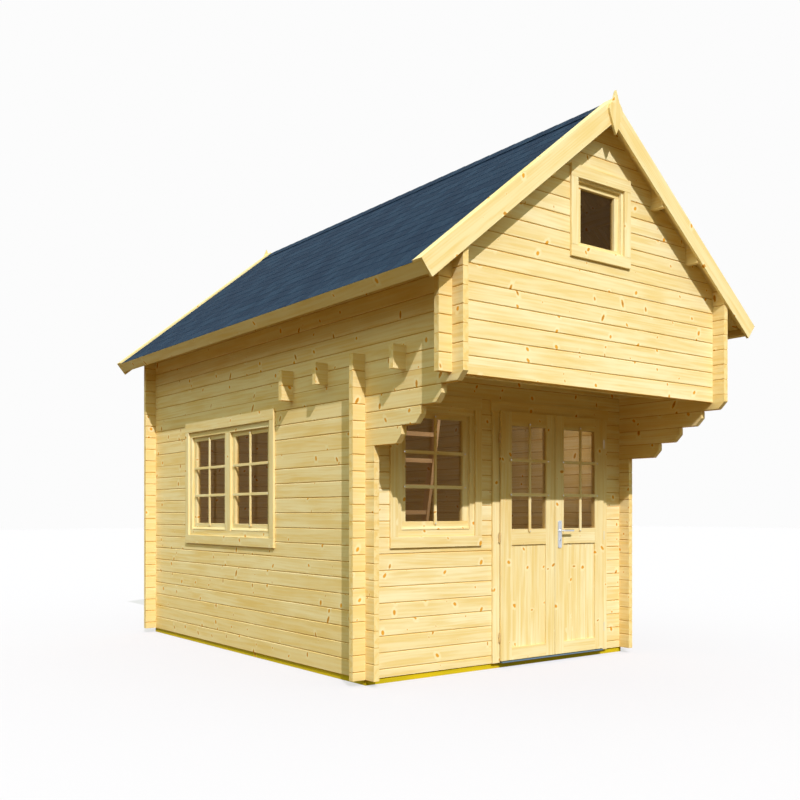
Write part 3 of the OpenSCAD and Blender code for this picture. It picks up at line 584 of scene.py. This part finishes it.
def door_leaf(side):
    """A leaf of stiles, rails, upright panel boards and glazing bars, drawn from its meeting edge."""
    name = "left" if side < 0 else "right"
    low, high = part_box(name + "_leaf")
    meeting = high[0] if side < 0 else low[0]
    place = Matrix.Translation((meeting, low[1], low[2])) @ Matrix.Diagonal((side, 1, 1, 1))
    leaf, bars = Joinery(place), Joinery(place)
    width, height = high[0] - low[0], high[2] - low[2]
    back_w, back_h = width - LIP_IN, height - LIP_IN
    glass_x0, glass_x1 = LOCK_STILE, width - HINGE_STILE
    glass_z0, glass_z1 = MID_RAIL_Z + MID_RAIL, height - TOP_RAIL
    leaf.board((0, 0, 0), (LOCK_STILE, LIP_T, height), "z")
    leaf.board((0, LIP_T, 0), (LOCK_STILE, LEAF_T, back_h), "z")
    hinge_outline = [(glass_x1, 0), (width, 0), (width, LIP_T),
                     (back_w, LIP_T), (back_w, LEAF_T), (glass_x1, LEAF_T)]
    leaf.prism(hinge_outline, "z", 0.0, back_h, "z")
    leaf.board((glass_x1, 0, back_h), (width, LIP_T, height), "z", 0.0)
    for z0, z1 in ((0.0, BOTTOM_RAIL), (MID_RAIL_Z, MID_RAIL_Z + MID_RAIL)):
        leaf.board((glass_x0, 0, z0), (glass_x1, LEAF_T, z1), "x")
    head = [(0, glass_z1), (LEAF_T, glass_z1), (LEAF_T, back_h),
            (LIP_T, back_h), (LIP_T, height), (0, height)]
    leaf.prism(head, "x", glass_x0, glass_x1, "x")
    panel_y = (LEAF_T - PANEL_T) / 2
    step = (glass_x1 - glass_x0) / PANEL_BOARDS
    for i in range(PANEL_BOARDS):
        x = glass_x0 + i * step
        leaf.board((x, panel_y, BOTTOM_RAIL), (x + step, panel_y + PANEL_T, MID_RAIL_Z), "z", PANEL_EASE)
    glazing_bars(bars, glass_x0, glass_x1, glass_z0, glass_z1, 0.0)
    leaf.piece(name + "_leaf_joinery", framing, name + "_door", "door_wood", name + "_leaf")
    bars.piece(name + "_leaf_glazing_bars", framing, name + "_door", "door_wood")


def door_trims():
    """A board on each side of the doorway."""
    low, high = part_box("door_side_trims")
    clear_low, clear_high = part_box("threshold")
    kit = Joinery()
    kit.board(low, (clear_low[0], high[1], high[2]), "z", TRIM_EASE)
    kit.board((clear_high[0], low[1], low[2]), high, "z", TRIM_EASE)
    kit.piece("door_side_trim_boards", framing, "cabin", "door_wood", "door_side_trims")


def roof_point(side, down, out):
    """A point of a slope's section: down the slope from the ridge, out square to it."""
    return (side * (down * COS + out * SIN), RIDGE_Z - down * SIN + out * COS)


# Boards and shingles
BOARD_W, BOARD_EASE, ROOF_BOARD_GAP, FLOOR_BOARD_GAP = 0.096, 0.003, 0.0006, 0.0005
SHEET_T = 0.0022
SHINGLE_ROWS, ROW_LAP, ROW_DRIFT = 15, 1.45, (0.02, 0.10)
TAB_W, TAB_SLOT, TAB_T, TAB_LIFT = 0.125, 0.005, 0.0018, 0.0004
TAB_SHORTEST, TAB_SINK, TAB_HEAD, TAB_CLEAR = 0.01, 0.0005, 0.001, 0.0008
EAVE_CLEAR, EDGE_CLEAR = 0.0002, 0.001
RIDGE_CAPS, RIDGE_LAP, RIDGE_REACH, RIDGE_T = 32, 1.35, 0.125, 0.0034
RIDGE_CLEAR_FRONT, RIDGE_CLEAR_BACK = 0.0026, 0.0004


def roof_boards(side):
    """Boards that run down the slope from the ridge to the eave."""
    kit = Joinery()
    name = "left" if side < 0 else "right"
    count = round((ROOF_Y1 - ROOF_Y0) / BOARD_W)
    width = (ROOF_Y1 - ROOF_Y0) / count
    section = [roof_point(side, -LAYER_GAP * TAN, LAYER_GAP), roof_point(side, SLOPE_END, LAYER_GAP),
               roof_point(side, SLOPE_END, BOARD_V), roof_point(side, -BOARD_V * TAN, BOARD_V)]
    for i in range(count):
        start = ROOF_Y0 + i * width
        kit.prism(section, "y", start + ROOF_BOARD_GAP, start + width - ROOF_BOARD_GAP, 0, BOARD_EASE)
    grain = spruce_left if side < 0 else spruce_right
    kit.piece(name + "_roof_boarding", [grain], "cabin", "board_wood", name + "_roof_boards")


def slab(kit, side, down0, down1, low0, high0, low1, high1, y0, y1):
    """A thin wedge on a slope, from its upper edge down0 to its butt down1."""
    section = [roof_point(side, down0, low0), roof_point(side, down1, low1),
               roof_point(side, down1, high1), roof_point(side, down0, high0)]
    kit.prism(section, "y", y0, y1, 0, 0.0)


def shingles(side):
    """Rows of tabs laid from the eave up over a base sheet, each row half a tab out of step."""
    kit = Joinery()
    name = "left" if side < 0 else "right"
    under = BOARD_V + LAYER_GAP
    sheet_top = under + SHEET_T
    slab(kit, side, -under * TAN, SLOPE_END, under, sheet_top, under, sheet_top, ROOF_Y0, ROOF_Y1)
    first, last = ROOF_Y0 + CAP_W + EDGE_CLEAR, ROOF_Y1 - CAP_W - EDGE_CLEAR
    eave = SLOPE_END + FASCIA_T - EDGE_CLEAR
    shown = eave / SHINGLE_ROWS
    for row in range(SHINGLE_ROWS):
        butt = eave - row * shown
        top = max(butt - shown * ROW_LAP, 0.0)
        rest = ROOF_V + EAVE_CLEAR if row == 0 else sheet_top + TAB_CLEAR
        start = first - TAB_W * (0.5 * (row % 2) + chance.uniform(*ROW_DRIFT))
        while start < last:
            y0, y1 = max(start, first), min(start + TAB_W - TAB_SLOT, last)
            lift = chance.uniform(0.0, TAB_LIFT)
            start += TAB_W
            if y1 - y0 < TAB_SHORTEST:
                continue
            slab(kit, side, top, butt, sheet_top - TAB_SINK, sheet_top + TAB_HEAD,
                 rest + lift, rest + TAB_T + lift, y0, y1)
    kit.piece(name + "_shingle_tabs", [shingle], "cabin", "shingles", name + "_shingles")


def ridge_caps():
    """Shingles folded over the ridge, each lapping the one behind it."""
    kit = Joinery()
    low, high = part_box("ridge_shingles")
    step = (high[1] - low[1]) / RIDGE_CAPS
    faces = [(0, 1, 4, 5), (1, 2, 3, 4), (6, 7, 10, 11), (7, 8, 9, 10)]
    faces += [(i, (i + 1) % 6, 6 + (i + 1) % 6, 6 + i) for i in range(6)]
    for i in range(RIDGE_CAPS):
        y0 = low[1] + i * step
        y1 = min(y0 + step * RIDGE_LAP, high[1])
        points = []
        for y, clear in ((y0, RIDGE_CLEAR_FRONT), (y1, RIDGE_CLEAR_BACK)):
            under = ROOF_V + clear
            over = under + RIDGE_T
            lower = [roof_point(-1, RIDGE_REACH, under), (0.0, RIDGE_Z + under / COS),
                     roof_point(1, RIDGE_REACH, under)]
            upper = [roof_point(1, RIDGE_REACH, over), (0.0, RIDGE_Z + over / COS),
                     roof_point(-1, RIDGE_REACH, over)]
            points += [(x, y, z) for x, z in lower + upper]
        kit.solid(points, faces, 0, 0.0)
    kit.piece("ridge_cap_shingles", [shingle], "cabin", "shingles", "ridge_shingles")


def floors():
    """Boards along the cabin's length on the bearers and on the loft joists."""
    door0, door1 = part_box("door_jambs")
    for node, name in (("ground_floor", "ground_floor_boards"), ("loft_floor", "loft_floor_boards")):
        low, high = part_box(node)
        kit = Joinery()
        count = round((high[0] - low[0]) / BOARD_W)
        width = (high[0] - low[0]) / count
        for i in range(count):
            x0, x1 = low[0] + i * width, low[0] + (i + 1) * width
            at_door = node == "ground_floor" and x1 > door0[0] and x0 < door1[0]
            start = door1[1] if at_door else low[1]
            kit.board((x0 + FLOOR_BOARD_GAP, start, low[2]), (x1 - FLOOR_BOARD_GAP, high[1], high[2]), "y",
                      FLOOR_EASE)
        kit.piece(name, framing, "cabin", "board_wood", node)


# Handle plates: round corners, screws in from the ends, lock cylinder up from the foot, lever's collars
PLATE_CORNER, PLATE_EASE = 0.010, 0.0016
PLATE_SCREW_IN, PLATE_SCREW_R, PLATE_SCREW_PROUD = 0.016, 0.0042, 0.0015
SLOT_HALF_L, SLOT_HALF_W, SLOT_PROUD = 0.0034, 0.0005, 0.0017
LOCK_UP, LOCK_R, LOCK_TAIL, LOCK_HALF_W, LOCK_PROUD, LOCK_EASE = 0.062, 0.0085, 0.022, 0.005, 0.003, 0.0012
KEYHOLE_HALF_W, KEYHOLE_DOWN, KEYHOLE_UP, KEYHOLE_PROUD = 0.001, 0.006, 0.005, 0.0034
COLLAR_R, COLLAR_L, COLLAR_GAP, COLLAR_EASE = 0.0125, 0.010, 0.0003, 0.0015


def handle_set():
    """Rounded plates with screws and a lock cylinder on both faces of the right leaf."""
    low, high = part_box("handle_plates")
    leaf_low, leaf_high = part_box("right_leaf")
    kit = Joinery()
    centre = (low[0] + high[0]) / 2
    inner_low = (low[0] + PLATE_CORNER, low[2] + PLATE_CORNER)
    inner_high = (high[0] - PLATE_CORNER, high[2] - PLATE_CORNER)
    outline = rounded(inner_low, inner_high, PLATE_CORNER, 5)
    lock_z = low[2] + LOCK_UP
    for y0, y1, out in ((low[1], leaf_low[1], -1), (leaf_high[1], high[1], 1)):
        front = y0 if out < 0 else y1

        def proud(depth):
            return sorted((front, front + out * depth))

        def bar(half_w, z0, z1, depth, finish, ease):
            back, face = proud(depth)
            kit.board((centre - half_w, back, z0), (centre + half_w, face, z1), finish, ease)

        kit.prism(outline, "y", y0, y1, 0, PLATE_EASE, 2)
        for z in (low[2] + PLATE_SCREW_IN, high[2] - PLATE_SCREW_IN):
            kit.disc((centre, z), "y", PLATE_SCREW_R, *proud(PLATE_SCREW_PROUD), 0)
            # Each screw's slot is a thin near-black bar, painted shade in the slot
            bar(SLOT_HALF_L, z - SLOT_HALF_W, z + SLOT_HALF_W, SLOT_PROUD, 1, 0.0)
        kit.disc((centre, lock_z), "y", LOCK_R, *proud(LOCK_PROUD), 0)
        bar(LOCK_HALF_W, lock_z - LOCK_TAIL, lock_z, LOCK_PROUD, 0, LOCK_EASE)
        # The keyhole is a thin near-black bar, painted shade in the hole
        bar(KEYHOLE_HALF_W, lock_z - KEYHOLE_DOWN, lock_z + KEYHOLE_UP, KEYHOLE_PROUD, 1, 0.0)
    kit.piece("handle_plate_set", [steel, slot_painted_shade], "right_door", "steel_fittings", "handle_plates")


def lever_collars():
    """Collars round the lever's spindle at both plates."""
    plate_low, plate_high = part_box("handle_plates")
    kit = Joinery()
    joint = next(j for j in frame["joints"] if j["name"] == "lever_turn")
    x, _, z = joint["pos_m"]
    for start, end in ((plate_low[1] - COLLAR_L, plate_low[1] - COLLAR_GAP),
                       (plate_high[1] + COLLAR_GAP, plate_high[1] + COLLAR_L)):
        kit.disc((x, z), "y", COLLAR_R, start, end, 0, 28, COLLAR_EASE)
    kit.piece("lever_collars", [steel], "door_lever", "steel_fittings")


PLAIN_FINISHES = {
    side_logs_painted_light: ["left_wall", "left_corbels", "left_wall_upper",
                "right_wall", "right_corbels", "right_wall_upper"],
    cross_logs: ["front_wall_left", "front_wall_right", "front_wall_over",
                 "back_wall", "loft_wall", "loft_beam"],
    spruce_boards[0]: ["door_head", "door_head_trim", "loft_joists"],
    spruce_boards[1]: ["purlins"],
    spruce_eave: ["fascias"],
    spruce_boards[2]: ["finials", "door_jambs"],
    spruce_left: ["left_barges", "left_edge_caps"],
    spruce_right: ["right_barges", "right_edge_caps"],
    treated_x: ["end_bearers", "floor_bearers"],
    treated_y: ["side_bearers"],
    ladder_x: ["ladder_rungs"],
    ladder_z: ["ladder_stiles"],
    pane: ["window_panes", "left_leaf_panes", "right_leaf_panes"],
    steel: ["lever"],
    hinge_metal: ["frame_hinges", "left_leaf_hinges", "right_leaf_hinges"],
    threshold_metal: ["threshold"],
}
EASED_NODES = ["purlins", "fascias", "finials", "left_barges", "right_barges", "left_edge_caps",
               "right_edge_caps", "side_bearers", "end_bearers", "floor_bearers", "ladder_rungs",
               "ladder_stiles", "door_head", "door_head_trim", "door_jambs", "threshold"]
NODE_EASE = 0.002


def dress_nodes():
    """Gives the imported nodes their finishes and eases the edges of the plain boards."""
    for finish, nodes in PLAIN_FINISHES.items():
        for node in nodes:
            mesh = frame["nodes"][node].data
            mesh.materials.clear()
            mesh.materials.append(finish)
    for node in EASED_NODES:
        ease = frame["nodes"][node].modifiers.new("eased_edges", "BEVEL")
        ease.width = NODE_EASE
        ease.segments = 1
        ease.limit_method = "ANGLE"


# Studio: the floor as it lights the cabin and as it is seen, the sun, a weak lamp in the room, the dome
FLOOR_REACH = 60.0
FLOOR_BOUNCE, FLOOR_SEEN, FLOOR_GLOW = tint(0.13, 0.085, 0.030), tint(0.264, 0.245, 0.302), 0.60
SUN_WAY, SUN_STRENGTH, SUN_SPREAD = (1.0, 2.42, -2.08), 3.22, math.radians(0.6)
SUN_COLOUR = (1.0, 0.98, 0.95)
ROOM_LAMP_AT, ROOM_LAMP_W, ROOM_LAMP_H, ROOM_LAMP_WATTS = (0.45, FRONT_Y + 0.20, 1.70), 1.3, 0.7, 4.5
SKY_LOW, SKY_HIGH, BACKDROP = tint(0.12, 0.07, 0.005), tint(0.94, 1.09, 0.80), tint(0.973, 0.973, 0.973)
# Camera: place, turn to the right, lens in millimetres and rise of the view
VIEW_AT, VIEW_TURN = (-5.0039, -6.6441, 1.1882), math.radians(36.976)
VIEW_LENS, VIEW_SENSOR, VIEW_RISE = 42.20, 36.0, 0.1403


def studio():
    """A wide pale floor, a white backdrop for the camera, a sun from the front left and a soft fill."""
    scene = bpy.context.scene
    scene.view_settings.view_transform = "Standard"
    floor_mesh = bpy.data.meshes.new("studio_floor")
    corners = [(-1, -1), (1, -1), (1, 1), (-1, 1)]
    floor_mesh.from_pydata([(x * FLOOR_REACH, y * FLOOR_REACH, 0) for x, y in corners], [], [(0, 1, 2, 3)])
    floor = bpy.data.objects.new("studio_floor", floor_mesh)
    scene.collection.objects.link(floor)
    paper = new_finish("pale_floor")
    plain = paper.node("BsdfDiffuse", None, {"Color": FLOOR_BOUNCE})
    shade = paper.node("BsdfDiffuse", None, {"Color": FLOOR_SEEN})
    glow = paper.node("Emission", None, {"Color": tint(1, 1, 1), "Strength": FLOOR_GLOW})
    bright = paper.node("AddShader", None, {0: shade, 1: glow})
    paper.cover(paper.node("MixShader", None, {0: paper.seen_rays(), 1: plain, 2: bright}))
    floor_mesh.materials.append(paper.owner)

    sun = bpy.data.lights.new("sun_front_left", "SUN")
    sun.energy = SUN_STRENGTH
    sun.angle = SUN_SPREAD
    sun.color = SUN_COLOUR
    lamp = bpy.data.objects.new("sun_front_left", sun)
    lamp.rotation_mode = "QUATERNION"
    lamp.rotation_quaternion = Vector(SUN_WAY).to_track_quat("-Z", "Y")
    scene.collection.objects.link(lamp)

    room = bpy.data.lights.new("room_light", "AREA")
    room.shape = "RECTANGLE"
    room.size = ROOM_LAMP_W
    room.size_y = ROOM_LAMP_H
    room.energy = ROOM_LAMP_WATTS
    room_lamp = bpy.data.objects.new("room_light", room)
    room_lamp.location = ROOM_LAMP_AT
    room_lamp.rotation_euler = (math.pi / 2, 0.0, 0.0)
    room_lamp.visible_camera = False
    room_lamp.visible_glossy = False
    room_lamp.visible_transmission = False
    scene.collection.objects.link(room_lamp)

    scene.world = bpy.data.worlds.new("white_studio")
    sky = Finish(scene.world)
    height = sky.dot(sky.node("TexCoord", None, None, "Generated"), (0, 0, 1))
    dome = sky.blend(sky.smooth(height, 0.04, 0.50), SKY_LOW, SKY_HIGH)
    fill = sky.node("Background", None, {"Color": dome, "Strength": 1.0})
    white = sky.node("Background", None, {"Color": BACKDROP, "Strength": 1.0})
    sky.cover(sky.node("MixShader", None, {0: sky.seen_rays(), 1: fill, 2: white}), "OutputWorld")


def camera():
    """Stands where the photograph was taken from, level, with the view raised by the lens shift."""
    lens = bpy.data.cameras.new("photo_view")
    lens.sensor_width = VIEW_SENSOR
    lens.lens = VIEW_LENS
    lens.shift_y = VIEW_RISE
    view = bpy.data.objects.new("photo_view", lens)
    view.location = VIEW_AT
    view.rotation_euler = (math.pi / 2, 0.0, -VIEW_TURN)
    bpy.context.scene.collection.objects.link(view)
    bpy.context.scene.camera = view


camera()
studio()
dress_nodes()
windows()
for hand in (-1, 1):
    door_leaf(hand)
    roof_boards(hand)
    shingles(hand)
ridge_caps()
floors()
door_trims()
handle_set()
lever_collars()
